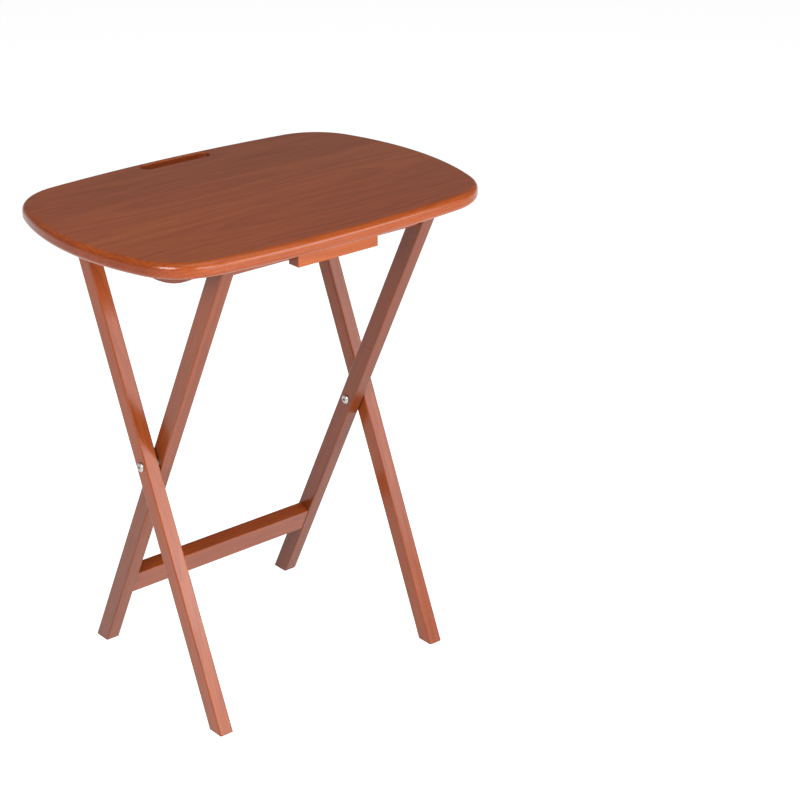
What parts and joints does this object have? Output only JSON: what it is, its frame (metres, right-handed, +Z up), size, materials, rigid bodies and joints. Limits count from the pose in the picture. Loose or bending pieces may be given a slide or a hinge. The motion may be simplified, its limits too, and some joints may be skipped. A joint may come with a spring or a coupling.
{
  "type": "folding tray table",
  "caption": "Folding tray table: a bow-sided wooden top with a hand slot on crossed, bolted wooden legs that close flat.",
  "frame": {"origin": "on the floor, under the middle of the top", "axes": "+Z up; X along the long sides of the top; +Y towards the long side with the hand slot"},
  "size_m": [0.562, 0.394, 0.66],
  "materials": {
    "top_wood": "satin lacquer over red-brown stain, fine grain along X",
    "leg_wood": "satin lacquer over red-brown stain, grain along the leg",
    "rail_wood": "satin lacquer over red-brown stain, grain along X",
    "batten_wood": "satin lacquer over red-brown stain",
    "dowel_wood": "bare hardwood",
    "bright_metal": "bright plated",
    "screw_steel": "zinc plated",
    "washer_metal": "zinc plated",
    "insert_metal": "plated threaded insert"
  },
  "bodies": {
    "outer_frame": {"outer_leg_left": "leg_wood", "outer_leg_right": "leg_wood", "pivot_bolt_left": "bright_metal", "pivot_bolt_right": "bright_metal", "pivot_nut_left": "bright_metal", "pivot_nut_right": "bright_metal", "pivot_washer_left": "washer_metal", "pivot_washer_right": "washer_metal"},
    "inner_frame": {"inner_leg_left": "leg_wood", "inner_leg_right": "leg_wood", "lower_stretcher": "rail_wood", "stretcher_dowels_left": "dowel_wood", "stretcher_dowels_right": "dowel_wood", "catch_rail": "rail_wood"},
    "top": {"tabletop": "top_wood", "cleat_left": "batten_wood", "cleat_right": "batten_wood", "cleat_screws_left": "screw_steel", "cleat_screws_right": "screw_steel", "catch_block": "batten_wood", "catch_screws": "screw_steel", "top_bolt_left": "bright_metal", "top_bolt_right": "bright_metal", "top_nut_left": "insert_metal", "top_nut_right": "insert_metal", "top_washer_left": "washer_metal", "top_washer_right": "washer_metal"}
  },
  "joints": [
    {"name": "leg_fold", "type": "hinge", "parent": "outer_frame", "child": "inner_frame", "pos_m": [0, 0.001, 0.33], "axis": [-1, 0, 0], "range_deg": [0, 49.5]},
    {"name": "top_tilt", "type": "hinge", "parent": "outer_frame", "child": "top", "pos_m": [0, 0.12744, 0.625], "axis": [-1, 0, 0], "range_deg": [0, 113.2]}
  ],
  "couplings": [
    {"joint": "top_tilt", "follows": "leg_fold", "ratio": 2.2868}
  ]
}
